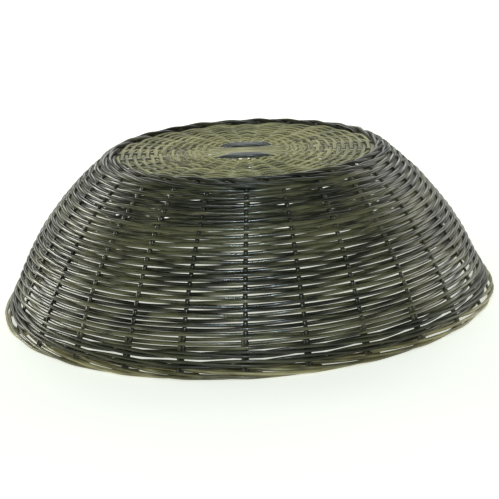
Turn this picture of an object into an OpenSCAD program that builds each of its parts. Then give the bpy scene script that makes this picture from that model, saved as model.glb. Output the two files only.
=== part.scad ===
// Round woven basket, kept bottom-up: it stands on its rim and shows its base on top.
// The origin is the centre of the circle that the rim stands on, with +Z up towards the base.

/* [Overall] */
// Outside diameter at the rim
rim_d = 400; // [390:1:410]
// Height from the rim to the top of the foot ring
height = 126; // [122:1:128]
// Outside diameter of the foot ring's flat top
foot_d = 220; // [216:1:222]

/* [Wall shape] */
// Lean of the wall from upright at the rim, in degrees
rim_lean = 23; // [22:0.5:24]
// Lean of the wall from upright at the foot, in degrees
foot_lean = 54; // [53:0.5:55]

/* [Cane] */
// Number of side stakes, which is also the number of base stick ends
stake_count = 26; // [24, 26, 28]
// Thickness of a side stake
stake_d = 3; // [2.8:0.1:3.3]
// Thickness of a base stick
stick_d = 4; // [3.8:0.1:4.2]
// Thickness of the cane that the rounds are woven with
weaver_t = 2.4; // [2.2:0.1:2.6]
// Thickness of the cane in the wale under the border
wale_t = 3.2; // [3:0.1:3.4]
// Thickness of the border rods
border_d = 5; // [4.8:0.1:5.2]

/* [Weave] */
// Bands that the side weave is divided into
band_count = 5; // [4:1:5]
// Rounds of weaving in each band
band_rows = 8; // [6:2:8]
// Rounds of thicker cane between the border and the side weave
wale_rows = 3; // [2:1:3]
// Rounds of weaving in each of the three parts of the base
base_rows = 6; // [4:2:6]

/* [Hidden] */
$fn = 48;
gap = 0.1;                                   // free space left between neighbouring canes
row_lap = 0.05;                              // woven rounds press into each other by this much
wale_pitch = 4.2;                            // rise of one wale round along the wall
bind_d = 2.8;                                // cane that binds the crossing of the base sticks
bind_turns = 4;                              // turns of that cane
upset_d = 3.6;                               // cane of the wale where the stakes turn up
stake_step = 360 / stake_count;
front_angle = -90;                           // one base stick end points straight to the front
wall_cover = 2.95;                           // from a stake's face to the outside of the weave
crown = 1;                                   // a round lies flat this far past the edge of a stake
base_crown = 0.4;                            // and a base round past the edge of a stick or tail
swelling = 1.04;                             // a stake is this much thicker where it bends

// The outer face of the wall: a straight flare at the rim, then an arc up to the foot.
foot_r = foot_d / 2;
wall_run = (rim_d - foot_d) / 2;
arc_r = (wall_run * cos(rim_lean) - height * sin(rim_lean)) / (1 - cos(foot_lean - rim_lean));
flare_l = (height - arc_r * (sin(foot_lean) - sin(rim_lean))) / cos(rim_lean);
arc_x = rim_d / 2 - flare_l * sin(rim_lean) - arc_r * cos(rim_lean);
arc_z = flare_l * cos(rim_lean) - arc_r * sin(rim_lean);

// The stakes run inside that face. t is the length along their line from the arc's start.
half_wall = stake_d / 2 + wall_cover;
line_r = arc_r - half_wall;
function lean(t) = rim_lean + max(t, 0) / line_r * 180 / PI;
function wall_x(t) = arc_x + line_r * cos(lean(t)) - min(t, 0) * sin(rim_lean);
function wall_z(t) = arc_z + line_r * sin(lean(t)) + min(t, 0) * cos(rim_lean);
function t_at(z) = z < wall_z(0) ? (z - wall_z(0)) / cos(rim_lean)
    : (asin((z - arc_z) / line_r) - rim_lean) * PI / 180 * line_r;
function beside_line(t, d) = [wall_x(t) + d * cos(lean(t)), wall_z(t) + d * sin(lean(t))];

// Heights, from the rim up
rim_foot_h = 3;                              // flat strip that the border stands on
border_z = rim_foot_h + gap / 2 + border_d / 2;
wale_z0 = border_z + border_d / 2 + gap;      // the wale starts here
weave_t0 = t_at(wale_z0) + wale_rows * wale_pitch;
border_inner_x = wall_x(t_at(border_z)) - ((stake_d + border_d) / 2 + gap) / cos(rim_lean);
foot_ring_h = 4.4;
base_z = height - foot_ring_h - gap - stake_d / 2;    // plane of the base sticks and stake tails
weave_t1 = t_at(base_z - stake_d / 2 - gap);
row_pitch = (weave_t1 - weave_t0) / (band_count * band_rows);
elbow_t = t_at(base_z);

// The base, from the middle out
across = 6;                                  // sticks that run left to right
along = stake_count / 2 - across;            // sticks that run front to back
lay = stick_d + gap;                         // spacing of the sticks where they cross
layer_z = lay / 2;                           // the crossing's two layers lie this far up and down
fan_r = 34;                                  // the sticks have fanned out here
round_r0 = 37;                               // the base weave starts here
stick_in = 12;                               // the base sticks end this far in from the foot's radius
stick_r = foot_r - stick_in;
tip_cover = 2;                               // length of each tip beyond the last round
round_pitch = (stick_r - tip_cover - round_r0) / (3 * base_rows);
tail_side = (stake_d + stick_d) / 2 + gap;   // a stake's tail lies beside its base stick
tail_r = 72;                                 // and ends here, inside the base weave
tail_taper = 3;                              // the rounds widen this far before a tail's end
bind_clear = 0.5;                            // space between the crossing and the first turn of the binding
bind_lift = 0.3;                             // space between the binding and the sticks that it crosses
group_clear = 1;                             // length of stick left straight past the crossing

// The rings at the foot and the strip at the rim
ring_in = 11;                                // the foot ring reaches this far in from the foot's radius
ring_out = 2.6;                              // and this far out
ring_flat = 9;                               // width of its flat top
ring_edge_out = 1.4;                         // height of its outer edge
ring_edge_in = 1.6;                          // drop of its inner edge
upset_drop = 2;                              // the outer upset cane is this far below the turn
upset_in = 8;                                // the inner one lies this far in from the foot's radius
strip_in = 1.5;                              // the strip's outer face lies this far inside the rim's radius
strip_w = 10.5;                              // width of the strip
strip_edge = 1;                              // its lower edges are cut back by this much

CANE = [0.36, 0.35, 0.27];
DARK_CANE = [0.20, 0.21, 0.20];
TAN_CANE = [0.52, 0.49, 0.38];

function named(name, count) = [for (i = [1 : count]) str(name, "_", i)];
ACROSS = named("base_stick_across", across);
ALONG = named("base_stick_along", along);
BASE = ["base_weave_inner", "base_weave_middle", "base_weave_outer"];
BINDINGS = ["binding_right", "binding_back", "binding_left", "binding_front"];
BANDS = named("side_weave", band_count);
STAKES = named("side_stake", stake_count);
RINGS = ["foot_ring", "upset_wale", "rim_wale", "border_outer_rod", "border_inner_rod", "border_foot"];

// A straight round cane from p to q
module cane(p, q, d) {
    v = q - p;
    translate(p) rotate([0, acos(v.z / norm(v)), atan2(v.y, v.x)]) cylinder(d = d, h = norm(v));
}

// The swelling where a cane of thickness d bends
module knuckle(d) { sphere(d = swelling * d); }

// Angle of base stick end i, and of stake i where it stands at radius r
function stick_angle(i) = front_angle + i * stake_step;
function stake_angle(i, r) = stick_angle(i) + asin(tail_side / r);

// Which side of stake or stick i a round passes: 1 is outside or above, -1 is inside or below
function side_of(i, round_no) = (i + round_no) % 2 == 0 ? 1 : -1;

// One round of the side weave: a ring that passes outside one stake and inside the next.
// It has two corners at each stake, so it lies flat across the stake and runs straight to the next.
module side_round(t, pitch, thick, round_no) {
    low = wall_z(t);
    r = (wall_x(t) + wall_x(t + pitch)) / 2;
    slope = (wall_x(t) - wall_x(t + pitch)) / 2;
    swing = stake_d / 2 / cos(lean(t + pitch)) + slope + thick / 2 + gap;
    flat = asin((stake_d / 2 + crown) / r);
    function ring(face) = [for (i = [0 : stake_count - 1], e = [-flat, flat])
        let (a = stake_angle(i, r) + e)
        (r + side_of(i, round_no) * swing + face * thick / 2) * [cos(a), sin(a)]];
    translate([0, 0, low]) linear_extrude(wall_z(t + pitch) - low + row_lap) difference() {
        polygon(ring(1));
        polygon(ring(-1));
    }
}

module side_weave(band) {
    color(CANE) for (k = [0 : band_rows - 1])
        side_round(weave_t0 + (band * band_rows + k) * row_pitch, row_pitch - (k == band_rows - 1 ? gap : 0),
            weaver_t, k);
}

module rim_wale() {
    color(DARK_CANE) for (k = [0 : wale_rows - 1])
        side_round(t_at(wale_z0) + k * wale_pitch, wale_pitch - (k == wale_rows - 1 ? gap : 0), wale_t, k);
}

// One side stake: its tail in the base, the bend at the foot and the bow of the wall down to the rim
module side_stake(i) {
    t_low = t_at(rim_foot_h + gap + stake_d / 2 * sin(rim_lean));
    color(DARK_CANE) rotate([0, 0, stick_angle(i)]) translate([0, tail_side, 0]) {
        cane([tail_r, 0, base_z], [wall_x(elbow_t), 0, base_z], stake_d);
        translate([wall_x(elbow_t), 0, base_z]) knuckle(stake_d);
        translate([arc_x, 0, arc_z]) rotate([90, 0, 0]) rotate([0, 0, rim_lean])
            rotate_extrude(angle = lean(elbow_t) - rim_lean) translate([line_r, 0]) circle(d = stake_d);
        translate([wall_x(0), 0, wall_z(0)]) knuckle(stake_d);
        cane([wall_x(t_low), 0, wall_z(t_low)], [wall_x(0), 0, wall_z(0)], stake_d);
    }
}

// Half the length of the straight stretch of a stick across the crossing, for each group
function straight_half(level) = (level > 0 ? along : across) * lay / 2 + group_clear;

// One base stick: straight through the crossing, then fanned out to its two places on the circle.
// offset counts sticks from the middle of its group, and level is 1 for the upper group, -1 for the lower.
module base_stick(offset, angle, level) {
    spread = offset * stake_step;
    inner = [straight_half(level), offset * lay, base_z + level * layer_z];
    fan = [fan_r * cos(spread), fan_r * sin(spread), base_z];
    tip = [stick_r * cos(spread), stick_r * sin(spread), base_z];
    function other(p) = [-p.x, p.y, p.z];
    color(TAN_CANE) rotate([0, 0, angle])
        bent_cane([other(tip), other(fan), other(inner), inner, fan, tip], stick_d);
}

// Binding of the crossing on one side: canes laid square across one group of sticks.
// They lie over the lower group and under the upper group.
module binding(side) {
    level = side % 2 == 0 ? 1 : -1;
    last = ((level > 0 ? across : along) - 1) / 2;          // the outermost stick of the group
    start = [straight_half(level), last * lay];
    fan = fan_r * [cos(last * stake_step), sin(last * stake_step)];
    color(DARK_CANE) rotate([0, 0, side * 90]) for (k = [0 : bind_turns - 1]) {
        x = start.x + bind_d / 2 + bind_clear + k * (bind_d + gap);
        part = (x - start.x) / (fan.x - start.x);           // how far the sticks have fanned out here
        half = start.y + part * (fan.y - start.y) + stick_d / 2;
        z = base_z + level * layer_z * (1 - part) - level * ((stick_d + bind_d) / 2 + bind_lift);
        cane([x, -half, z], [x, half, z], bind_d);
    }
}

// A closed loop of cane of square section, thickness t, through points that wind round the Z axis
module loop(points, t) {
    n = len(points);
    up = [0, 0, t / 2];
    corners = [for (p = points) let (out = [p.x, p.y, 0] / norm([p.x, p.y]) * t / 2)
        each [p - out - up, p + out - up, p + out + up, p - out + up]];
    function corner(i, k) = 4 * (i % n) + k % 4;
    polyhedron(corners, [for (i = [0 : n - 1], k = [0 : 3])
        each [[corner(i, k), corner(i + 1, k + 1), corner(i + 1, k)],
              [corner(i, k), corner(i, k + 1), corner(i + 1, k + 1)]]]);
}

// A cane of thickness d through points that lie nearly level, with each section square to the way it runs
module bent_cane(points, d) {
    n = len(points);
    sides = 12;
    corners = [for (i = [0 : n - 1])
        let (way = points[min(i + 1, n - 1)] - points[max(i - 1, 0)],
             aside = [-way.y, way.x, 0] / norm([way.x, way.y]))
        each [for (k = [0 : sides - 1]) points[i]
            + d / 2 * (cos(k * 360 / sides) * aside + sin(k * 360 / sides) * [0, 0, 1])]];
    function corner(i, k) = sides * i + k % sides;
    walls = [for (i = [0 : n - 2], k = [0 : sides - 1])
        each [[corner(i, k), corner(i + 1, k), corner(i + 1, k + 1)],
              [corner(i, k), corner(i + 1, k + 1), corner(i, k + 1)]]];
    ends = [[for (k = [0 : sides - 1]) corner(0, k)],
            [for (k = [0 : sides - 1]) corner(n - 1, sides - 1 - k)]];
    polyhedron(corners, concat(walls, ends));
}

// One round of the base weave: over one stick end and under the next, wider where a tail lies beside it
module base_round(r, round_no) {
    swing = (stick_d + weaver_t) / 2 + gap;
    near = asin((stick_d / 2 + base_crown) / r);
    far = r > tail_r - tail_taper ? asin((tail_side + stake_d / 2 + base_crown) / r) : near;
    loop([for (i = [0 : stake_count - 1], e = [-near, far]) let (a = stick_angle(i) + e)
        [r * cos(a), r * sin(a), base_z + side_of(i, round_no) * swing]], weaver_t);
}

module base_weave(part) {
    color(CANE) for (k = [0 : base_rows - 1])
        base_round(round_r0 + (part * base_rows + k + 0.5) * round_pitch, k);
}

// Ring over the bends of the stakes: the basket stands on its flat top when it is turned over
module foot_ring() {
    low = height - foot_ring_h;
    color(DARK_CANE) rotate_extrude() polygon([[foot_r - ring_in, low], [foot_r + ring_out, low],
        [foot_r + ring_out, low + ring_edge_out], [foot_r, height], [foot_r - ring_flat, height],
        [foot_r - ring_in, height - ring_edge_in]]);
}

// Cane outside and inside the stakes where they turn up
module upset_wale() {
    outside = beside_line(elbow_t - upset_drop, (stake_d + upset_d) / 2 + gap);
    inside = [foot_r - upset_in, base_z - stick_d / 2 - gap - upset_d / 2];
    color(DARK_CANE) for (place = [outside, inside])
        rotate_extrude() translate(place) circle(d = upset_d);
}

module border_rod(r) {
    color(CANE) rotate_extrude() translate([r, border_z]) circle(d = border_d);
}

// Flat strip under the border, which the basket stands on here
module border_foot() {
    out = rim_d / 2 - strip_in;
    inner = out - strip_w;
    color(TAN_CANE) rotate_extrude() polygon([[inner + strip_edge, 0], [out - strip_edge, 0],
        [out, strip_edge], [out, rim_foot_h], [inner, rim_foot_h], [inner, strip_edge]]);
}

for (i = [1 : across]) base_stick(i - (across + 1) / 2, 0, 1);
for (i = [1 : along]) base_stick(i - (along + 1) / 2, 90, -1);
for (i = [0 : 2]) base_weave(i);
for (i = [0 : 3]) binding(i);
for (i = [1 : band_count]) side_weave(i - 1);
for (i = [1 : stake_count]) side_stake(i - 1);
foot_ring();
upset_wale();
rim_wale();
border_rod(rim_d / 2 - border_d / 2);  // border_outer_rod
border_rod(border_inner_x);  // border_inner_rod
border_foot();
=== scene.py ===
# %% [markdown]
# # A round woven basket, lying bottom-up on its rim
#
# The real basket is made of nothing but canes. Base sticks cross in the middle and fan out like spokes, a
# thin cane is woven round them, side stakes turn down from the base into the bowed wall, more rounds are
# woven on the stakes, and at the rim the ends of the stakes are laid along each other as a border.
#
# One way to model this is a bowl with a picture of weaving on it. It never has the gaps, the shadows and
# the wavy outline of the real thing. Here every cane is its own bent rod, placed by the same few rules
# that a weaver follows.

# %% Load the frame
import math
import bmesh
import bpy
import numpy as np
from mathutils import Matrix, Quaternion, Vector


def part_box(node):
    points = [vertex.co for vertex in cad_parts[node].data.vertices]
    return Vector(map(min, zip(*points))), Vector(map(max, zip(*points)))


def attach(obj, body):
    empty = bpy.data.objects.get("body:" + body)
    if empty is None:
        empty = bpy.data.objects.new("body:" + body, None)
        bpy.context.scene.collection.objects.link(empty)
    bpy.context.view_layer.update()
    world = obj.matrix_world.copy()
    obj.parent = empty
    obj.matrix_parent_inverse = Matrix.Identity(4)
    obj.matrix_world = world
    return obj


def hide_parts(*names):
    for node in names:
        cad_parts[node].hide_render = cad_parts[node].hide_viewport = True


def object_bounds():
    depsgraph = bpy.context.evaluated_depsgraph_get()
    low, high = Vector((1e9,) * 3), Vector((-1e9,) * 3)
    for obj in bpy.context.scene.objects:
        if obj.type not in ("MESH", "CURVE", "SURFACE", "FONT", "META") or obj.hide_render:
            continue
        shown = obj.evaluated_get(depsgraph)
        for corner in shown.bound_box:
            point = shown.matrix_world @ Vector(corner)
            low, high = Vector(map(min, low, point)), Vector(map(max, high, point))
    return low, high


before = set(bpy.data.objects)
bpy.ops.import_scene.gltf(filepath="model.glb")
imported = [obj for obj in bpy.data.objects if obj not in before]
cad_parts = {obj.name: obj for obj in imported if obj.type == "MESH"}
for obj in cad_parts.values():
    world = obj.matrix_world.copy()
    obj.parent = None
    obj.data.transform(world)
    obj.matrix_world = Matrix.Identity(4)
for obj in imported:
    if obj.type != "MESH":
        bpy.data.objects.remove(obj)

cad_box = [list(corner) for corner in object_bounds()]
chance = np.random.default_rng(26)
print("the CAD model's box in metres:", cad_box)

# %% [markdown]
# ## The line that every stake follows
#
# A side stake starts at the rim as a straight flare, bows over the wall, turns at the foot and lies flat
# in the base. Everything else in the basket is woven on that line, so it is worked out once, as radius,
# height and lean against the length `t` along it, where 0 is the start of the bow. The lean is the angle
# from upright. Adding up small steps in the direction of the lean gives the line, and the turn at the
# foot gets a soft bend in the same way.

# %% Sizes that come from the frame
MM = 0.001
STAKES = 26
STEP = 2 * math.pi / STAKES
RIM_LEAN, FOOT_LEAN = math.radians(23), math.radians(54)
HALF_WALL = 3.4 * MM                       # the stakes' line runs this far inside the wall's outer curve
RING_PROUD = 2.6 * MM                      # the foot ring reaches this far past the foot's own radius
CROSSING_LIFT = 1 * MM                     # the middle of an upper stick's box, above the base's plane

height = cad_box[1][2]
rim_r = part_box("border_outer_rod")[1][0]
foot_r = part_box("foot_ring")[1][0] - RING_PROUD
base_z = sum(corner[2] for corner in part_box("base_stick_across_1")) / 2 - CROSSING_LIFT

wall_run = rim_r - foot_r
bow_r = (wall_run * math.cos(RIM_LEAN) - height * math.sin(RIM_LEAN)) / (1 - math.cos(FOOT_LEAN - RIM_LEAN))
flare = (height - bow_r * (math.sin(FOOT_LEAN) - math.sin(RIM_LEAN))) / math.cos(RIM_LEAN)
bow_x = rim_r - flare * math.sin(RIM_LEAN) - bow_r * math.cos(RIM_LEAN)
bow_z = flare * math.cos(RIM_LEAN) - bow_r * math.sin(RIM_LEAN)
line_r = bow_r - HALF_WALL
elbow_t = (math.asin((base_z - bow_z) / line_r) - RIM_LEAN) * line_r
print(f"bow radius {bow_r / MM:.1f} mm, straight flare {flare / MM:.1f} mm, turn at {elbow_t / MM:.1f} mm")

# %% The line itself
SOFT_TURN = 6 * MM                         # half the length over which a stake turns at the foot
BEFORE_BOW, PAST_TURN, LINE_STEP = 40, 110, 0.1      # in millimetres, as the line's own ruler is
line_t = np.arange(-BEFORE_BOW, elbow_t / MM + PAST_TURN, LINE_STEP) * MM
wall_lean = RIM_LEAN + np.clip(line_t, 0, None) / line_r
turned = np.clip((line_t - elbow_t) / (2 * SOFT_TURN) + 0.5, 0, 1)
line_lean = wall_lean + (math.pi / 2 - wall_lean) * turned
bow_start_x = bow_x + line_r * math.cos(RIM_LEAN)
bow_start_z = bow_z + line_r * math.sin(RIM_LEAN)
line_x = bow_start_x - np.cumsum(np.sin(line_lean)) * LINE_STEP * MM
line_z = bow_start_z + np.cumsum(np.cos(line_lean)) * LINE_STEP * MM
bow_start = np.searchsorted(line_t, 0)
line_x += bow_start_x - line_x[bow_start]
line_z += bow_start_z - line_z[bow_start]


def on_line(t, out=0.0):
    """Radius, height and lean at length t, a distance `out` outside the line."""
    lean = np.interp(t, line_t, line_lean)
    x = np.interp(t, line_t, line_x) + out * np.cos(lean)
    z = np.interp(t, line_t, line_z) + out * np.sin(lean)
    return x, z, lean


def t_at_height(z):
    return np.interp(z, line_z[line_t < elbow_t], line_t[line_t < elbow_t])


def t_at_radius(r):
    return np.interp(-r, -line_x, line_t)


print(f"the line ends {line_z[-1] / MM:.2f} mm up, and the plane of the base is {base_z / MM:.2f} mm up")

# %% [markdown]
# ## Where the stakes stand
#
# A machine would space the stakes evenly, and a hand doesn't. Each one gets a small error, and all the
# rounds ask the same function where the stakes are, so that the weave still passes each stake on the
# right side.

# %% Places of the stakes
STAKE_ERROR = math.radians(0.45)
TAIL_SIDE = 3.75 * MM                      # a stake's tail lies this far beside its base stick
stick_angle = -math.pi / 2 + np.arange(STAKES) * STEP + chance.uniform(-1, 1, STAKES) * STAKE_ERROR


def stake_count_at(angle, r, beside=TAIL_SIDE):
    """Counts the stakes passed on the way round: a whole number on each stake, a half between two."""
    turn = (angle - np.arcsin(beside / r) - stick_angle[0]) / (2 * math.pi)
    places = np.append(stick_angle - stick_angle[0], 2 * math.pi) / (2 * math.pi)
    return np.floor(turn) * STAKES + np.interp(turn - np.floor(turn), places, np.arange(STAKES + 1))


def slow_noise(angle, size, waves=(2, 3, 5, 8, 13)):
    """A few waves round the basket with a chance start each: the unevenness of handwork."""
    total = sum(np.sin(wave * angle + chance.uniform(0, 2 * math.pi)) for wave in waves)
    return size * total / math.sqrt(len(waves) / 2)


print("largest error of a stake:", round(math.degrees(STAKE_ERROR), 2), "degrees")

# %% [markdown]
# ## Canes
#
# Every cane starts as a plain rod. A circle extruded in a straight line gives an open cane, and a circle
# spun about an axis gives a closed one. A curve object with a bevel would also give rods, but it has no
# control over the thickness and the colour along a cane. Here the rod's own points are carried to the
# route instead: each ring of the rod moves to one station of the route and stands square to it.
#
# The rod also gets a UV map in metres, with the length in U and the girth in V, so that streaks run along
# each cane however it bends, and an attribute called `tint`, a number that sets each length of cane apart
# from its neighbours.

# %% Straight and closed rods
CANE_SIDES = 10
RINGS_PER_STAKE = 12                       # rings of a closed rod from one stake to the next


def measured(bm, name, ring_of, side_of):
    """A rod's mesh, with the ring that each of its points is on and its angle round that ring."""
    bmesh.ops.recalc_face_normals(bm, faces=bm.faces[:])
    mesh = bpy.data.meshes.new(name)
    bm.to_mesh(mesh)
    bm.free()
    points = np.empty(len(mesh.vertices) * 3)
    mesh.vertices.foreach_get("co", points)
    points = points.reshape(-1, 3)
    return {"mesh": mesh, "ring": ring_of(points), "side": side_of(points)}


def straight_rod(rings, sides=CANE_SIDES):
    """An open rod of radius 1, with its rings 1 apart."""
    bm = bmesh.new()
    bmesh.ops.create_circle(bm, segments=sides, radius=1)
    bmesh.ops.spin(bm, geom=bm.verts[:] + bm.edges[:], cent=(0, 0, 0), axis=(0, 0, 1), dvec=(0, 0, 1),
                   angle=0, steps=rings - 1)
    bmesh.ops.edgeloop_fill(bm, edges=[edge for edge in bm.edges if edge.is_boundary])
    rod = measured(bm, f"rod_{rings}",
                   lambda p: np.rint(p[:, 2]).astype(int),
                   lambda p: np.arctan2(p[:, 1], p[:, 0]))
    return rod | {"rings": rings, "closed": False}


def closed_rod(rings):
    """A rod of radius 1 that is closed to a hoop."""
    hoop_r = 10
    bm = bmesh.new()
    bmesh.ops.create_circle(bm, segments=CANE_SIDES, radius=1)
    bmesh.ops.rotate(bm, verts=bm.verts[:], matrix=Quaternion((1, 0, 0), math.pi / 2).to_matrix())
    bmesh.ops.translate(bm, verts=bm.verts[:], vec=(hoop_r, 0, 0))
    bmesh.ops.spin(bm, geom=bm.verts[:] + bm.edges[:], cent=(0, 0, 0), axis=(0, 0, 1), angle=2 * math.pi,
                   steps=rings, use_merge=True)
    per_radian = rings / (2 * math.pi)
    rod = measured(bm, f"hoop_{rings}",
                   lambda p: np.rint(np.arctan2(p[:, 1], p[:, 0]) * per_radian).astype(int) % rings,
                   lambda p: np.arctan2(-p[:, 2], np.hypot(p[:, 0], p[:, 1]) - hoop_r))
    return rod | {"rings": rings, "closed": True}


hoop = closed_rod(STAKES * RINGS_PER_STAKE)
print("a closed rod has", len(hoop["mesh"].vertices), "points and", len(hoop["mesh"].polygons), "faces")

# %% Bending a rod to its route
SETTLED_X, SETTLED_Y = 0.014, 0.014        # slope of the foot, down towards the right and towards the back
SIDEWAYS = 4.5 * MM                        # how far the foot has moved to the right of the rim's middle
SEAM_TURN = 0.9                            # a turn of a closed cane, as a share of the longest in the piece


def unit(vectors):
    return vectors / np.linalg.norm(vectors, axis=1)[:, None]


def settled(points):
    """The whole basket has settled a little to one side, so its foot is neither level nor central."""
    points[:, 2] -= (SETTLED_X * points[:, 0] + SETTLED_Y * points[:, 1]) * points[:, 2] / height
    points[:, 0] += SIDEWAYS * (points[:, 2] / height) ** 2
    return points


def bend(rod, route, face, radius, flat):
    """The rod's points on the route, their length along it and girth. `flat` thins it along `face`."""
    if rod["closed"]:
        ahead = unit(np.roll(route, -1, 0) - np.roll(route, 1, 0))
        step = np.linalg.norm(route - np.roll(route, 1, 0), axis=1)
    else:
        ahead = unit(np.gradient(route, axis=0))
        step = np.linalg.norm(np.diff(route, axis=0, prepend=route[:1]), axis=1)
    first = unit(face - np.sum(face * ahead, axis=1)[:, None] * ahead)
    second = np.cross(ahead, first)
    ring, side = rod["ring"], rod["side"]
    offset = flat * np.cos(side)[:, None] * first[ring] + np.sin(side)[:, None] * second[ring]
    points = route[ring] + radius[ring, None] * offset
    return settled(points), np.cumsum(step)[ring], side * np.mean(radius)


def closed_seam(values, mesh_starts, gap):
    """Where a face crosses a closed rod's seam, its low values go up by `gap`, which is about one turn."""
    highest = np.maximum.reduceat(values, mesh_starts)
    counts = np.diff(np.append(mesh_starts, len(values)))
    return np.where(np.repeat(highest, counts) - values > gap / 2, values + gap, values)


def canes(name, rod, lengths, finish, replaced, flat=1.0):
    """One piece from many canes. Each is (route, face, radius, tint), with a value for every station."""
    bm = bmesh.new()
    for _ in lengths:
        bm.from_mesh(rod["mesh"])
    mesh = bpy.data.meshes.new(name)
    bm.to_mesh(mesh)
    bm.free()
    bent = [bend(rod, route, face, radius, flat) for route, face, radius, _ in lengths]
    mesh.vertices.foreach_set("co", np.concatenate([points for points, _, _ in bent]).ravel())
    tint = mesh.attributes.new("tint", "FLOAT", "POINT")
    tint.data.foreach_set("value", np.concatenate([shade[rod["ring"]] for *_, shade in lengths]))

    corner = np.empty(len(mesh.loops), dtype=int)
    mesh.loops.foreach_get("vertex_index", corner)
    starts = np.empty(len(mesh.polygons), dtype=int)
    mesh.polygons.foreach_get("loop_start", starts)
    along = np.concatenate([length for _, length, _ in bent])[corner]
    if rod["closed"]:
        along = closed_seam(along, starts, float(along.max()) * SEAM_TURN)
    around = np.concatenate([girth for *_, girth in bent])[corner]
    around = closed_seam(around, starts, 2 * math.pi * float(np.mean(lengths[0][2])))
    cane_map = mesh.uv_layers.new(name="cane")
    cane_map.data.foreach_set("uv", np.stack([along, around], axis=1).ravel())
    mesh.polygons.foreach_set("use_smooth", np.ones(len(mesh.polygons), dtype=bool))
    mesh.materials.append(finish)
    mesh.update()
    piece = bpy.data.objects.new(name, mesh)
    bpy.context.scene.collection.objects.link(piece)
    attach(piece, "root")
    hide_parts(*replaced)


# %% Helpers for routes
TIP = np.array([0, 0.12, 0.45]) * MM       # the last stations of a cut end, from the cut
AT_CUT, BEHIND_CUT = 0.72, 0.93            # how thick the cane is at the first two of them


def round_route(angle, t, out):
    """A route round the basket at length t of the line, with the way the wall faces."""
    x, z, lean = on_line(t, out)
    route = np.stack([x * np.cos(angle), x * np.sin(angle), z], axis=1)
    face = np.stack([np.cos(lean) * np.cos(angle), np.cos(lean) * np.sin(angle), np.sin(lean)], axis=1)
    return route, face


def stations(first, last, count):
    """Evenly spaced stations, with three close ones at each end for the rounding of a cut end."""
    tip = TIP * np.sign(last - first)
    return np.concatenate([first + tip, np.linspace(first, last, count - 4)[1:-1], last - tip[::-1]])


def with_cut_ends(radius, count):
    """The radius at each station of a cane whose two ends are cut and slightly rounded."""
    shape = np.full(count, radius)
    shape[[0, -1]] *= AT_CUT
    shape[[1, -2]] *= BEHIND_CUT
    return shape


def softened(values, width, **padding):
    """The values with their corners rounded off over `width` of them."""
    kernel = np.hanning(width) / np.hanning(width).sum()
    return np.convolve(np.pad(values, width // 2, **padding), kernel, "valid")


print("a cut end is rounded over", TIP[-1] / MM, "mm")

# %% [markdown]
# ## The finish of the cane
#
# The canes were dyed dark and lacquered, and the dye took unevenly: along each cane run fine lighter and
# darker streaks, whole lengths are lighter or darker than the next, and the lacquer gives a narrow bright
# gloss. A noise texture stretched along the UV map makes the streaks, the `tint` attribute sets the
# lengths apart, and a noise in the object's own space makes larger patches. The streaks also drive a
# shallow bump, because they are the grain.

# %% A cane finish
STREAKS = (60, 900, 1)                     # streaks for each metre along a cane, and round it
PATCHES = 38                               # patches for each metre
PATCH_SHARE = 0.55                         # weight of the patches beside the streaks
CONTRAST = 1.13                            # spread of both, before a cane's own tint is added
GRAIN, GRAIN_DEPTH = 0.35, 0.2 * MM


def colour(red, green, blue):
    """A colour as a screen shows it, from 0 to 255, as the linear values that a shader takes."""
    def linear(value):
        return ((value / 255 + 0.055) / 1.055) ** 2.4 if value > 10 else value / 255 / 12.92

    return linear(red), linear(green), linear(blue), 1


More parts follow.
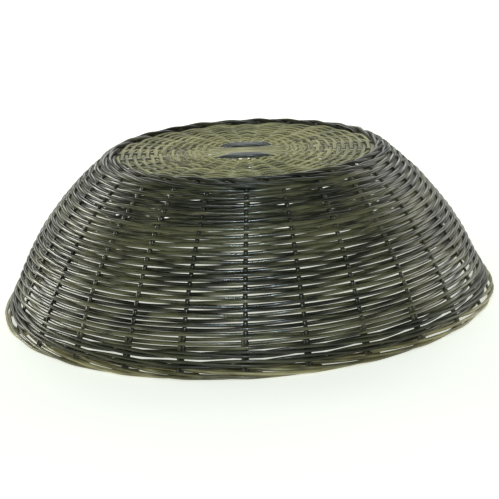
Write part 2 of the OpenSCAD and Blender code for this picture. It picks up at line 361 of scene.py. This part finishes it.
def cane_finish(name, dark, middle, light, gloss=0.32, coat=0.35):
    """A cane's material. `gloss` is the middle of its roughness, and `coat` is how much lacquer it has."""
    finish = bpy.data.materials.new(name)
    finish.use_nodes = True
    nodes, links = finish.node_tree.nodes, finish.node_tree.links
    shader = nodes["Principled BSDF"]
    shader.inputs["Coat Weight"].default_value = coat
    shader.inputs["Coat Roughness"].default_value = 0.12
    shader.inputs["Specular IOR Level"].default_value = 0.5

    cane_map = nodes.new("ShaderNodeUVMap")
    cane_map.uv_map = "cane"
    stretch = nodes.new("ShaderNodeMapping")
    stretch.inputs["Scale"].default_value = STREAKS
    links.new(cane_map.outputs["UV"], stretch.inputs["Vector"])
    streaks = nodes.new("ShaderNodeTexNoise")
    streaks.inputs["Scale"].default_value = 1
    streaks.inputs["Detail"].default_value = 3
    links.new(stretch.outputs["Vector"], streaks.inputs["Vector"])

    place = nodes.new("ShaderNodeTexCoord")
    patches = nodes.new("ShaderNodeTexNoise")
    patches.inputs["Scale"].default_value = PATCHES
    patches.inputs["Detail"].default_value = 2
    links.new(place.outputs["Object"], patches.inputs["Vector"])

    tint = nodes.new("ShaderNodeAttribute")
    tint.attribute_name = "tint"
    both = nodes.new("ShaderNodeMath")
    both.operation = "MULTIPLY_ADD"
    both.inputs[1].default_value = PATCH_SHARE
    links.new(patches.outputs["Fac"], both.inputs[0])
    links.new(streaks.outputs["Fac"], both.inputs[2])
    shade = nodes.new("ShaderNodeMath")
    shade.operation = "MULTIPLY_ADD"
    shade.inputs[1].default_value = CONTRAST
    links.new(both.outputs["Value"], shade.inputs[0])
    links.new(tint.outputs["Fac"], shade.inputs[2])

    ramp = nodes.new("ShaderNodeValToRGB")
    ramp.color_ramp.elements[0].position = 0.55
    ramp.color_ramp.elements[0].color = dark
    ramp.color_ramp.elements[1].position = 1.0
    ramp.color_ramp.elements[1].color = light
    ramp.color_ramp.elements.new(0.8).color = middle
    links.new(shade.outputs["Value"], ramp.inputs["Fac"])
    links.new(ramp.outputs["Color"], shader.inputs["Base Color"])

    rough = nodes.new("ShaderNodeMapRange")
    rough.inputs["To Min"].default_value = gloss - 0.1
    rough.inputs["To Max"].default_value = gloss + 0.18
    links.new(streaks.outputs["Fac"], rough.inputs["Value"])
    links.new(rough.outputs["Result"], shader.inputs["Roughness"])

    bump = nodes.new("ShaderNodeBump")
    bump.inputs["Strength"].default_value = GRAIN
    bump.inputs["Distance"].default_value = GRAIN_DEPTH
    links.new(streaks.outputs["Fac"], bump.inputs["Height"])
    links.new(bump.outputs["Normal"], shader.inputs["Normal"])
    return finish


# %% The finishes of this basket
stake_finish = cane_finish("stake_cane", colour(24, 25, 17), colour(50, 50, 36), colour(90, 88, 66))
weaver_finish = cane_finish("weaver_cane", colour(18, 19, 11), colour(43, 44, 28), colour(102, 100, 70),
                            gloss=0.28, coat=0.5)
# Painted light: the base is the top that the back light falls on, and its canes and sticks are given much
# lighter colours than the wall's canes
base_weaver_painted_light_finish = cane_finish("base_weaver_cane", colour(80, 78, 44), colour(144, 140, 90),
                                 colour(196, 190, 134), gloss=0.5, coat=0.1)
stick_painted_light_finish = cane_finish("base_stick_cane", colour(130, 124, 82), colour(182, 176, 122),
                           colour(214, 207, 154), gloss=0.5, coat=0.1)
binding_finish = cane_finish("binding_cane", colour(42, 47, 48), colour(70, 76, 76), colour(110, 114, 108))
wale_finish = cane_finish("wale_cane", colour(19, 20, 12), colour(36, 38, 25), colour(74, 74, 50),
                          gloss=0.34, coat=0.25)
border_finish = cane_finish("border_cane", colour(66, 62, 36), colour(118, 112, 74), colour(168, 160, 116))
finishes = [material.name for material in bpy.data.materials if material.name.endswith("_cane")]
print("finishes:", ", ".join(finishes))

# %% [markdown]
# ## Thickness, and who gives way
#
# Where a weaver passes a stake, both give way: the weaver bows out a little, and the stake is pushed in a
# little. Low on the wall the stakes are stiff and the weavers bow most, which opens slots beside each
# stake. Higher up the weave is packed tighter, the weavers run nearly straight, and the stakes do the
# bending.

# %% Weavers and stakes
STAKE_R, STAKE_FLAT = 1.75 * MM, 0.52      # half a cane's width, and its thickness as a share of the width
WEAVER_R, WEAVER_FLAT = 1.56 * MM, 0.8
CONTACT = STAKE_R * STAKE_FLAT + WEAVER_R * WEAVER_FLAT     # from middle to middle where the two touch
SIDE_ROUNDS, BANDS = 38, 5
weave_low = float(t_at_height(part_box("side_weave_1")[0][2]))
UPSET_SPACE = 5.8 * MM                     # length of the line that the weave leaves free below the turn
weave_high = elbow_t - UPSET_SPACE
side_t, side_pitch = np.linspace(weave_low, weave_high, SIDE_ROUNDS, retstep=True)
BOW_PLACES, BOWS = (25 * MM, 60 * MM, weave_high), (2.0 * MM, 1.0 * MM, 0.9 * MM)
THICK_PLACES, THICKENING = (30 * MM, 62 * MM, weave_high), (0.97, 1.06, 1.15)


def bow_at(t):
    """How far a weaver bows out where it passes a stake, at length t."""
    return np.interp(t, BOW_PLACES, BOWS)


def packed_at(t):
    """How thick a weaver is at length t: near the foot the canes are thicker, and press on each other."""
    return np.interp(t, THICK_PLACES, THICKENING)


def stake_give(i, t):
    """How far stake i is pushed out at length t: against the bow of each round."""
    woven = (weave_low - side_pitch, weave_low, weave_high, weave_high + side_pitch)
    ends = np.interp(t, woven, (0, 1, 1, 0))
    return -ends * (CONTACT - bow_at(t)) * np.cos(math.pi * (i + (t - weave_low) / side_pitch))


print(f"{SIDE_ROUNDS} rounds, {side_pitch / MM:.2f} mm apart")

# %% [markdown]
# ## Side stakes
#
# A stake is one rod from the rim to its tail in the base. It stands a little beside its base stick,
# because the tail is pushed into the base weave next to the stick. A real stake isn't quite straight, so
# each gets a slow sideways sway of half a millimetre or so. The tail gets a lighter colour than the rest
# of its stake, as the base round it does: painted light for the top that the back light falls on.

# %% Side stakes
STAKE_RINGS, STAKE_SIDES = 260, 8
STAKE_TIP_Z = 2.6 * MM
TAIL_R = 72 * MM                           # the tails end this far from the middle of the base
STAKE_SWAY = 0.5 * MM
SWAY_RUN = 34 * MM                         # one whole sway takes 2 pi times this length
SWAY_END = 40 * MM                         # the sway dies out over this length below the turn
TAIL_PAINTED_LIGHT = 0.4                            # painted light: how much lighter a tail is than the rest of its stake, as the base round it
stake_rod = straight_rod(STAKE_RINGS, STAKE_SIDES)


def stake_route(i, t, beside, sway):
    """The route up stake i over the lengths t, `beside` the line of its base stick."""
    x, z, lean = on_line(t, stake_give(i, t))
    sway = sway * np.sin((t - t[0]) / SWAY_RUN + chance.uniform(0, 6))
    side = beside + sway * np.clip((elbow_t - t) / SWAY_END, 0, 1)
    cos, sin = math.cos(stick_angle[i]), math.sin(stick_angle[i])
    route = np.stack([x * cos - side * sin, x * sin + side * cos, z], axis=1)
    face = np.stack([np.cos(lean) * cos, np.cos(lean) * sin, np.sin(lean)], axis=1)
    return route, face


stake_t = stations(float(t_at_height(STAKE_TIP_Z)), float(t_at_radius(TAIL_R)), STAKE_RINGS)
in_base = np.interp(stake_t, [elbow_t - 2 * MM, elbow_t + 6 * MM], [0, 1])
for i in range(STAKES):
    route, face = stake_route(i, stake_t, TAIL_SIDE, STAKE_SWAY)
    # painted light: the tails in the base are lightened like the base's canes
    shade = chance.uniform(-0.2, 0.15) + TAIL_PAINTED_LIGHT * in_base
    stake = (route, face, with_cut_ends(STAKE_R, STAKE_RINGS), shade)
    canes(f"stake_{i + 1}", stake_rod, [stake], stake_finish, [f"side_stake_{i + 1}"], STAKE_FLAT)
print(f"{STAKES} stakes, each {(stake_t[-1] - stake_t[0]) / MM:.0f} mm long")

# %% [markdown]
# ## The plain weave of the wall
#
# Each round passes outside one stake and inside the next, and the round above it does the opposite.
# Across the wall a round is therefore a wave with its crests on the stakes. A cane is stiff, so it lies
# over a stake in a short bow and runs nearly straight to the next one: a cosine with a little of its
# third harmonic has that shape. Beside a stake one round lies out and the next lies in, which opens the
# slots that light comes through, and between two stakes they all lie on the line and close up.

# %% Rounds of plain weave
THIRD_HARMONIC = 0.07
UNEVEN = 0.12 * MM                         # how far a round strays from its place
TURNS_PER_LENGTH = 1.4                     # after about this many turns a new length of cane is laid in
LENGTH_SHADES = np.random.default_rng(7).uniform(-0.16, 0.16, 200)
angle = np.arange(hoop["rings"]) / hoop["rings"] * 2 * math.pi


def weave_wave(count):
    """From 1 on every second stake to -1 on those between, for a count of the stakes passed."""
    wave = np.cos(math.pi * count) + THIRD_HARMONIC * np.cos(3 * math.pi * count)
    return wave / (1 + THIRD_HARMONIC)


def lengths_of_cane(round_no, turn, per_length=TURNS_PER_LENGTH):
    """The shade of the length of cane that lies at each station."""
    length_no = np.floor((round_no + turn / (2 * math.pi)) / per_length).astype(int)
    return LENGTH_SHADES[length_no % len(LENGTH_SHADES)]


def woven_round(t, round_no, radius, bow, beside=TAIL_SIDE):
    """A closed round of plain weave at length t of the line, which bows out by `bow` at the stakes."""
    r, _, _ = on_line(t)
    count = stake_count_at(angle, r, beside)
    out = bow * weave_wave(count + round_no) + slow_noise(angle, UNEVEN, waves=(5, 9, 14, 21))
    along = t + slow_noise(angle, UNEVEN, waves=(3, 5, 9, 14, 22))
    route, face = round_route(angle, along, out)
    thick = radius * (1 + slow_noise(angle, 0.04, waves=(4, 7, 11, 19)))
    return route, face, thick, lengths_of_cane(round_no, angle)


def wall_round(k):
    """Round k of the wall, counted from the rim."""
    t = side_t[k]
    return woven_round(t, k, WEAVER_R * packed_at(t) * chance.uniform(0.96, 1.04), bow_at(t))


for band in range(BANDS):
    rows = range(band * SIDE_ROUNDS // BANDS, (band + 1) * SIDE_ROUNDS // BANDS)
    canes(f"woven_band_{band + 1}", hoop, [wall_round(k) for k in rows], weaver_finish,
          [f"side_weave_{band + 1}"], WEAVER_FLAT)
print(f"{SIDE_ROUNDS} rounds in {BANDS} bands")

# %% [markdown]
# ## Wales
#
# A wale is woven with three canes at once. Each passes outside two stakes and inside the third, and
# between the two it crosses over the other canes, which gives the look of a rope. With 26 stakes, one
# cane that goes round three times closes on itself and takes all three places, so a wale round is one
# long closed rod. The phase `p` runs from 0 to 3: inside the stake at 0, outside and high at 1, outside
# and low at 2.

# %% Wale rounds
WALE_TURNS, WALE_RINGS_PER_STAKE = 3, 10
WALE_UNEVEN = 0.15 * MM
WALE_TURNS_PER_LENGTH = 0.9
wale_rod = closed_rod(STAKES * WALE_TURNS * WALE_RINGS_PER_STAKE)


def wale(t, radius, tall, start, proud=0.0, depth=1.0):
    """A closed wale at length t from phase `start`, whose outer canes lie `tall` above and below it.

    Its canes go in and out by `depth`, where 1 is right round a stake, and their crossings stand `proud`.
    """
    turn = np.arange(wale_rod["rings"]) / wale_rod["rings"] * 2 * math.pi * WALE_TURNS
    r, _, _ = on_line(t)
    p = np.mod(stake_count_at(turn, r) + start, 3)
    near_zero = np.minimum(p, 3 - p)
    inside = np.where(near_zero < 1, (1 + np.cos(math.pi * near_zero)) / 2, 0)
    crossing = np.where(near_zero >= 1, (1 - np.cos(2 * math.pi * (p - 1))) / 2, 0)
    out = (STAKE_R * STAKE_FLAT + radius) * (1 - 2 * inside) * depth + proud * crossing
    out = out + slow_noise(turn, WALE_UNEVEN)
    along = t + tall * np.sin(2 * math.pi * p / 3) * 2 / math.sqrt(3) + slow_noise(turn, WALE_UNEVEN)
    route, face = round_route(turn, along, out)
    thick = radius * (1 + slow_noise(turn, 0.03, waves=(4, 7, 11)))
    return route, face, thick, lengths_of_cane(start, turn, WALE_TURNS_PER_LENGTH)


RIM_WALE_R = 1.36 * MM
rim_wale_t = float(t_at_height(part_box("rim_wale")[0][2]))
lower_wale = wale(rim_wale_t + 1.3 * MM, RIM_WALE_R, tall=1.6 * MM, start=0)
upper_wale = wale(rim_wale_t + 7.9 * MM, RIM_WALE_R, tall=1.55 * MM, start=1)
canes("rim_wale_canes", wale_rod, [lower_wale, upper_wale], wale_finish, ["rim_wale"])
print("rim wale from", round(rim_wale_t / MM, 1), "mm along the line")

# %% [markdown]
# ## Where the stakes turn
#
# Two more wales hold the stakes at the foot: the upset, just outside the turn, and one on top of it,
# which is the ring that the basket stands on in use. The crossings of the top one stand proud, so that
# the outline of the foot has one low bump for each stake. The upset is woven tighter, and goes less far
# in and out.

# %% Foot wales
FOOT_R, UPSET_R = 1.5 * MM, 1.6 * MM
foot_t, upset_t = elbow_t + 4.2 * MM, elbow_t - 1.6 * MM
foot_rope_r = float(on_line(foot_t)[0])
foot = wale(foot_t, FOOT_R, tall=1.6 * MM, start=2, proud=0.9 * MM)
canes("foot_rope", wale_rod, [foot], wale_finish, ["foot_ring"])
upset = wale(upset_t, UPSET_R, tall=1.5 * MM, start=1, proud=0.2 * MM, depth=0.55)
canes("upset_rope", wale_rod, [upset], wale_finish, ["upset_wale"])
print("foot rope at radius", round(foot_rope_r / MM, 1), "mm")

# %% [markdown]
# ## The border
#
# Below the wale each stake's end is turned along the rim and laid over its neighbours. Each laid end
# spans three stakes: it comes down outside, sinks as the next ones lie on it, and ends on the inside
# under them. 26 such routes, each starting at its own stake, make the outside of the border, and 26
# shorter ones are laid along its inside. Beside each stake a short end is tucked up into the wale, as a
# border's ends are on a basket like this.

# %% Laid ends of the border
BORDER_R = 1.3 * MM
LAID_RINGS = 64
OUTER_SPAN, INNER_SPAN = 3.1, 2.2          # how many stakes a laid end passes
# Corners of the two routes: stakes passed, then height and distance out of the stakes' line in millimetres
OUTER_PLACES = [(0, 7.0, 0.4), (0.4, 5.6, 3.2), (1, 4.4, 4.6), (2, 1.9, 4.4), (2.6, 1.35, 2.0),
                (3.1, 1.35, -0.8)]
INNER_PLACES = [(0, 6.8, -1.0), (0.4, 5.6, -3.2), (1, 4.2, -4.4), (2, 1.5, -4.9), (2.2, 1.4, -5.0)]
laid_rod = straight_rod(LAID_RINGS)


def laid_end(i, span, places, radius):
    """A cane laid along the rim from stake i over `span` stakes, through the places."""
    stake_gap = rim_r * STEP
    passed = stations(0, span * stake_gap, LAID_RINGS) / stake_gap
    stakes, heights, outs = zip(*places)
    fine = np.linspace(0, span, 400)

    def eased(values):
        return np.interp(passed, fine, softened(np.interp(fine, stakes, values), 41, mode="edge")) * MM

    z = eased(heights) + chance.uniform(-0.15, 0.15) * MM
    out = eased(outs) + chance.uniform(-0.3, 0.3) * MM
    r = on_line(t_at_height(z))[0] + out
    turn = stick_angle[i] + np.arcsin(TAIL_SIDE / rim_r) + passed * STEP
    route = np.stack([r * np.cos(turn), r * np.sin(turn), z], axis=1)
    face = np.stack([np.cos(turn), np.sin(turn), np.zeros(LAID_RINGS)], axis=1)
    return route, face, with_cut_ends(radius, LAID_RINGS), np.full(LAID_RINGS, chance.uniform(-0.2, 0.2))


outer_ends = [laid_end(i, OUTER_SPAN, OUTER_PLACES, BORDER_R * chance.uniform(0.92, 1.08))
              for i in range(STAKES)]
canes("border_laid_ends", laid_rod, outer_ends, border_finish, ["border_outer_rod", "border_foot"])
inner_ends = [laid_end(i, INNER_SPAN, INNER_PLACES, BORDER_R) for i in range(STAKES)]
canes("border_inner_ends", laid_rod, inner_ends, border_finish, ["border_inner_rod"])
print(len(outer_ends) + len(inner_ends), "laid ends")

# %% Tucked ends beside the stakes
TUCK_R, TUCK_RINGS = 1.35 * MM, 24
TUCK_ASIDE = 3.0 * MM                      # a tucked end lies this far beside its stake
TUCK_FOOT_Z = 3 * MM
TUCK_SWAY = 0.2 * MM
tuck_rod = straight_rod(TUCK_RINGS)
tucked = []
for i in range(STAKES):
    tuck_top_z = chance.uniform(22, 29) * MM
    tuck_t = stations(float(t_at_height(TUCK_FOOT_Z)), float(t_at_height(tuck_top_z)), TUCK_RINGS)
    route, face = stake_route(i, tuck_t, TAIL_SIDE - TUCK_ASIDE, TUCK_SWAY)
    tuck_shade = np.full(TUCK_RINGS, chance.uniform(-0.1, 0.3))
    tucked.append((route, face, with_cut_ends(TUCK_R, TUCK_RINGS), tuck_shade))
canes("border_tucked_ends", tuck_rod, tucked, stake_finish, ["border_inner_rod"])
print(len(tucked), "tucked ends")

# %% [markdown]
# ## The base sticks
#
# 13 sticks cross in the middle, 6 in the upper layer and 7 in the lower one, and their 26 ends fan out to
# the places of the stakes. A stick is straight where it crosses and bends twice on each side, so a short
# list of corners, eased into soft bends, is its whole route.

# %% Base sticks
ACROSS, ALONG = 6, 7
STICK_R = 2.0 * MM
STICK_FLAT = 0.32                          # a flat stick keeps the weave over it low
LAY = 4.1 * MM                             # spacing of the sticks where they cross
CLEAR = 1 * MM                             # a stick stays straight this far past the crossing
FAN_R, TIP_R = 34 * MM, 96 * MM            # the sticks have fanned out here, and end there
STICK_RINGS = 80
stick_rod = straight_rod(STICK_RINGS)


def base_stick(offset, first_end, second_end, quarter, level):
    """A stick `offset` spacings off the middle, turned by `quarter`, in the upper (1) or lower layer (-1)."""
    half = (ALONG if level > 0 else ACROSS) * LAY / 2 + CLEAR
    cos, sin = math.cos(quarter), math.sin(quarter)
    layer = base_z + level * STICK_R * STICK_FLAT

    def end_points(end, way):
        aim = stick_angle[end]
        straight, aside = way * half, offset * LAY
        inner = Vector((straight * cos - aside * sin, straight * sin + aside * cos, layer))
        fan = Vector((FAN_R * math.cos(aim), FAN_R * math.sin(aim), base_z))
        return [inner, fan, Vector((TIP_R * math.cos(aim), TIP_R * math.sin(aim), base_z))]

    corners = np.array(end_points(first_end, -1)[::-1] + end_points(second_end, 1))
    lengths = np.insert(np.cumsum(np.linalg.norm(np.diff(corners, axis=0), axis=1)), 0, 0)
    fine = np.linspace(0, lengths[-1], 800)
    eased = [softened(np.interp(fine, lengths, corners[:, k]), 61, mode="reflect", reflect_type="odd")
             for k in range(3)]
    at = stations(0, lengths[-1], STICK_RINGS)
    route = np.stack([np.interp(at, fine, values) for values in eased], axis=1)
    face = np.tile([0.0, 0.0, 1.0], (STICK_RINGS, 1))
    shade = np.full(STICK_RINGS, chance.uniform(-0.15, 0.2))
    return route, face, with_cut_ends(STICK_R, STICK_RINGS), shade


# Stick ends are numbered round from the front, as the stakes are.
for n in range(ACROSS):
    offset = n - (ACROSS - 1) / 2
    right_end = round(STAKES / 4 + offset) % STAKES
    left_end = round(3 * STAKES / 4 - offset) % STAKES
    stick = base_stick(offset, left_end, right_end, quarter=0.0, level=1)
    canes(f"across_stick_{n + 1}", stick_rod, [stick], stick_painted_light_finish, [f"base_stick_across_{n + 1}"],
          STICK_FLAT)
for n in range(ALONG):
    offset = n - (ALONG - 1) / 2
    back_end = round(STAKES / 2 + offset) % STAKES
    front_end = round(-offset) % STAKES
    stick = base_stick(offset, front_end, back_end, quarter=math.pi / 2, level=-1)
    canes(f"along_stick_{n + 1}", stick_rod, [stick], stick_painted_light_finish, [f"base_stick_along_{n + 1}"],
          STICK_FLAT)
print(f"{ACROSS} sticks across and {ALONG} along")

# %% [markdown]
# ## The binding of the crossing
#
# Four turns of a dark cane hold the crossing. They lie over the lower sticks, in front and at the back,
# and dive under the upper sticks at the sides. One turn is a rounded square that swings up and down twice
# on its way round.

# %% Binding
BIND_R, BIND_RINGS, BIND_TURNS = 1.4 * MM, 160, 4
BIND_PITCH = 2.7 * MM                      # spacing of the turns, which press on each other a little
BIND_CLEAR = 0.6 * MM                      # space inside the first turn
BIND_LIFT = 0.1 * MM                       # space between a turn and the sticks beside the crossing
FAN_SHARE = 0.8                            # how far a turn follows the sticks down to the base's plane
SQUARENESS = 3.2                           # 2 would be an oval
STEEPNESS = 3.2                            # how fast a turn dives from over the sticks to under them
bind_rod = closed_rod(BIND_RINGS)
bind_angle = np.arange(BIND_RINGS) / BIND_RINGS * 2 * math.pi


def binding_turn(k):
    """Turn k of the binding, counted from the crossing."""
    past_sticks = CLEAR + (k + 0.5) * BIND_PITCH + BIND_CLEAR
    side_x, side_y = ALONG * LAY / 2 + past_sticks, ACROSS * LAY / 2 + past_sticks
    cos, sin = np.cos(bind_angle), np.sin(bind_angle)
    r = (np.abs(cos / side_x) ** SQUARENESS + np.abs(sin / side_y) ** SQUARENESS) ** (-1 / SQUARENESS)
    fanned = np.clip((r - side_x) / (FAN_R - side_x), 0, 1) * FAN_SHARE
    swing = -np.tanh(STEEPNESS * np.cos(2 * bind_angle)) / np.tanh(STEEPNESS)
    rise = swing * (STICK_R * STICK_FLAT * fanned + BIND_R + BIND_LIFT)
    route = np.stack([r * cos, r * sin, base_z + rise], axis=1)
    face = np.stack([cos, sin, np.zeros(BIND_RINGS)], axis=1)
    return route, face, np.full(BIND_RINGS, BIND_R), np.full(BIND_RINGS, chance.uniform(-0.15, 0.15))


bindings = [f"binding_{side}" for side in ("right", "back", "left", "front")]
turns = [binding_turn(k) for k in range(BIND_TURNS)]
canes("binding_turns", bind_rod, turns, binding_finish, bindings)
print(f"binding of {BIND_TURNS} turns")

# %% [markdown]
# ## The base weave
#
# 21 rounds of plain weave on the stick ends, over one and under the next, from the fan out to the foot
# rope. The canes of the first rounds are a little thinner, because they have to bend most. Further out
# each stick has a stake's tail beside it, and the weave passes over the pair. The rounds are the same
# closed rods as in the wall: the line that they follow lies flat here, so their bow is up and down.

# %% Rounds of the base
BASE_ROUNDS, BASE_PARTS = 21, ("inner", "middle", "outer")
BASE_FLAT = 0.42
INNER_CANE_R = 1.52 * MM                   # half the width of a cane in the first round
CANE_GAIN = 0.06 * MM                      # and how much wider that half is in the last
FIRST_ROUND_R = 34.8 * MM
ROPE_SPACE = 4.6 * MM                      # from the last round to the middle of the foot rope
TAIL_REACH = 2 * MM                        # the weave spreads this far inside the tails' ends
base_radii, base_pitch = np.linspace(FIRST_ROUND_R, foot_rope_r - ROPE_SPACE, BASE_ROUNDS, retstep=True)


def base_round(k):
    """Round k of the base, counted from the middle."""
    r = base_radii[k]
    pair_side = TAIL_SIDE / 2 if r > TAIL_R - TAIL_REACH else 0
    radius = INNER_CANE_R + CANE_GAIN * k / BASE_ROUNDS
    bow = STICK_R * STICK_FLAT + radius * BASE_FLAT
    return woven_round(float(t_at_radius(r)), k, radius, bow, beside=pair_side)


for part, label in enumerate(BASE_PARTS):
    rows = range(part * BASE_ROUNDS // len(BASE_PARTS), (part + 1) * BASE_ROUNDS // len(BASE_PARTS))
    canes(f"base_rounds_{label}", hoop, [base_round(k) for k in rows], base_weaver_painted_light_finish,
          [f"base_weave_{label}"], BASE_FLAT)
print(f"{BASE_ROUNDS} rounds, {base_pitch / MM:.2f} mm apart")

# %% [markdown]
# ## Floor, light and camera
#
# The basket stands on a glowing white table, as small things often do for a catalogue: the floor itself
# gives light, so there is hardly a shadow, and the slots in the wall shine. The table is small, because
# its far part would look grey in a low view. A large soft light behind keeps the top bright, one on each
# side, a little behind, draws the gloss along the flanks, and in front a narrow strip gives small blue
# glints and a small window lifts the darkest canes. The camera sees a white world, while the canes are
# lit by a much darker one, which keeps the dark canes dark.

# %% Floor
FLOOR_R, FLOOR_GLOW = 1.3, 0.62
bm = bmesh.new()
bmesh.ops.create_circle(bm, cap_ends=True, segments=96, radius=FLOOR_R)
floor_mesh = bpy.data.meshes.new("floor")
bm.to_mesh(floor_mesh)
bm.free()
floor = bpy.data.objects.new("floor", floor_mesh)
bpy.context.scene.collection.objects.link(floor)
table_finish = bpy.data.materials.new("white_table")
table_finish.use_nodes = True
table = table_finish.node_tree.nodes["Principled BSDF"]
table.inputs["Base Color"].default_value = colour(228, 230, 226)
table.inputs["Roughness"].default_value = 0.7
table.inputs["Emission Color"].default_value = colour(252, 254, 245)
table.inputs["Emission Strength"].default_value = FLOOR_GLOW
floor_mesh.materials.append(table_finish)
print("floor of", 2 * FLOOR_R, "m across")

# %% Lights
FLANK_TONE, STRIP_TONE, WINDOW_TONE = (1.0, 1.0, 0.88), (0.7, 0.88, 1.0), (0.95, 1.0, 0.93)
FLANK_SIZE, STRIP_SIZE, WINDOW_SIZE, BACK_SIZE = (0.7, 0.4), (0.07, 0.6), (0.5, 0.16), (2.0, 1.0)


def softbox(name, place, aim_z, size, watts, tone=(1, 1, 1)):
    """A rectangle of light that looks at height `aim_z` over the middle of the table."""
    light = bpy.data.lights.new(name, "AREA")
    light.shape = "RECTANGLE"
    light.size, light.size_y = size
    light.energy = watts
    light.color = tone
    lamp = bpy.data.objects.new(name, light)
    lamp.location = place
    lamp.rotation_euler = (Vector((0, 0, aim_z)) - Vector(place)).to_track_quat("-Z", "Y").to_euler()
    bpy.context.scene.collection.objects.link(lamp)


softbox("back_light", (0.1, 1.6, 1.1), 0.08, BACK_SIZE, watts=14)
softbox("left_light", (-1.5, 0.6, 0.4), 0.06, FLANK_SIZE, watts=9, tone=FLANK_TONE)
softbox("right_light", (1.5, 0.6, 0.4), 0.06, FLANK_SIZE, watts=4.5, tone=FLANK_TONE)
softbox("front_strip", (0.05, -1.5, 1.25), 0.08, STRIP_SIZE, watts=8, tone=STRIP_TONE)
softbox("front_window", (-0.35, -1.7, 1.3), 0.08, WINDOW_SIZE, watts=4, tone=WINDOW_TONE)
print(len(bpy.data.lights), "lights")

# %% World
WORLD_SEEN, WORLD_LIT = 1.05, 0.15
world = bpy.data.worlds.new("studio")
bpy.context.scene.world = world
world.use_nodes = True
nodes, links = world.node_tree.nodes, world.node_tree.links
seen = nodes["Background"]
seen.inputs["Color"].default_value = (1, 1, 1, 1)
seen.inputs["Strength"].default_value = WORLD_SEEN
lit = nodes.new("ShaderNodeBackground")
lit.inputs["Color"].default_value = colour(235, 240, 222)
lit.inputs["Strength"].default_value = WORLD_LIT
ray = nodes.new("ShaderNodeLightPath")
mix = nodes.new("ShaderNodeMixShader")
links.new(ray.outputs["Is Camera Ray"], mix.inputs["Fac"])
links.new(lit.outputs["Background"], mix.inputs[1])
links.new(seen.outputs["Background"], mix.inputs[2])
links.new(mix.outputs["Shader"], nodes["World Output"].inputs["Surface"])
bpy.context.scene.view_settings.view_transform = "Standard"
print(f"world strength {WORLD_SEEN} for the camera, {WORLD_LIT} for the canes")

# %% Camera
CAMERA_TURN = math.radians(2.4)            # off the front, so that a stake stands left of the middle
CAMERA_ROLL = math.radians(-3.6)
CAMERA_HEIGHT = math.radians(16.3)         # above the horizon
CAMERA_AWAY = 1.373
PIVOT_Z = 0.048                            # the camera's angle and distance are taken from here
LOOK_AT = (0.0026, -0.0030, 0.0380)
FOCAL_LENGTH = 120.7                       # in millimetres, as a lens has
round_the_basket = Quaternion((0, 0, 1), CAMERA_TURN)
eye = round_the_basket @ Vector((0, -CAMERA_AWAY * math.cos(CAMERA_HEIGHT),
                                 PIVOT_Z + CAMERA_AWAY * math.sin(CAMERA_HEIGHT)))
aim = round_the_basket @ Vector(LOOK_AT)
lens = bpy.data.cameras.new("camera")
lens.lens = FOCAL_LENGTH
lens.sensor_width = 36
camera = bpy.data.objects.new("camera", lens)
camera.location = eye
turned_to = (aim - eye).to_track_quat("-Z", "Y") @ Quaternion((0, 0, 1), CAMERA_ROLL)
camera.rotation_euler = turned_to.to_euler()
bpy.context.scene.collection.objects.link(camera)
bpy.context.scene.camera = camera
print("camera", [round(value, 3) for value in camera.location])
